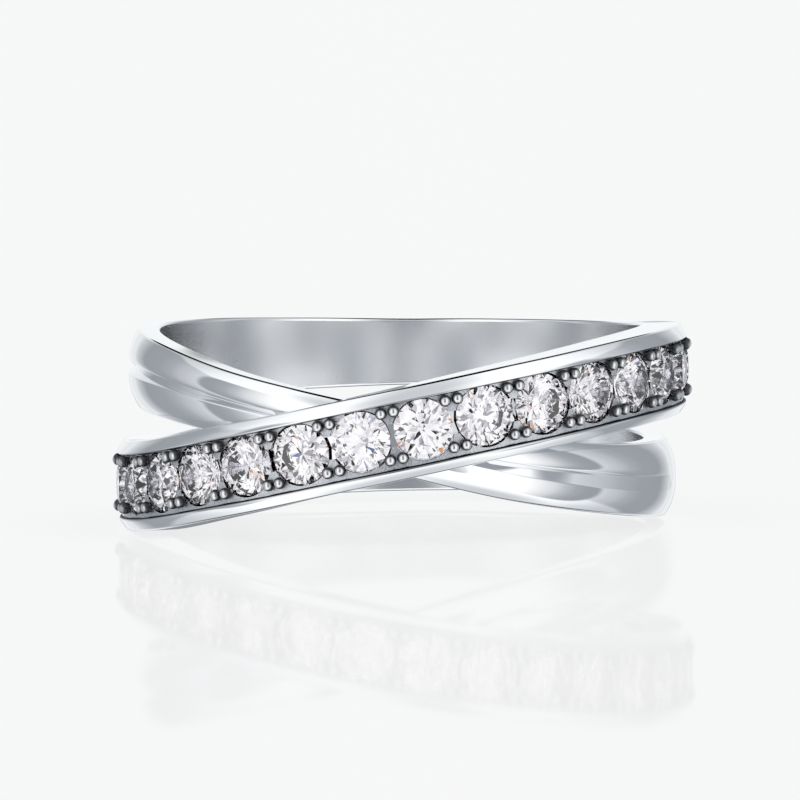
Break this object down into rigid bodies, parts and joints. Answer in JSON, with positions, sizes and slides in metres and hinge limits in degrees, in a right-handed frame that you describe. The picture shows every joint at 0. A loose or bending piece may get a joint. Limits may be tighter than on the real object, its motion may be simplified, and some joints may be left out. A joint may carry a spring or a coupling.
{
  "type": "cross ring",
  "caption": "Finger ring whose band of channel-set round stones crosses over a grooved plain band, with both bands running side by side round the back.",
  "frame": {"origin": "centre of the finger hole, half way up the ring as it lies on its side", "axes": "+Z along the finger hole, with the ring lying on its side; -Y towards the crossing, +X to the side where the stone band is the upper one"},
  "size_m": [0.0208, 0.0202, 0.0072],
  "materials": {
    "metal": "mirror polished white metal",
    "stones": "clear colourless faceted stone"
  },
  "bodies": {
    "root": {"ring_body": "metal", "stone_01": "stones", "stone_02": "stones", "stone_03": "stones", "stone_04": "stones", "stone_05": "stones", "stone_06": "stones", "stone_07": "stones", "stone_08": "stones", "stone_09": "stones", "stone_10": "stones", "stone_11": "stones", "stone_12": "stones", "stone_13": "stones", "stone_14": "stones", "stone_15": "stones", "stone_16": "stones"}
  },
  "joints": []
}
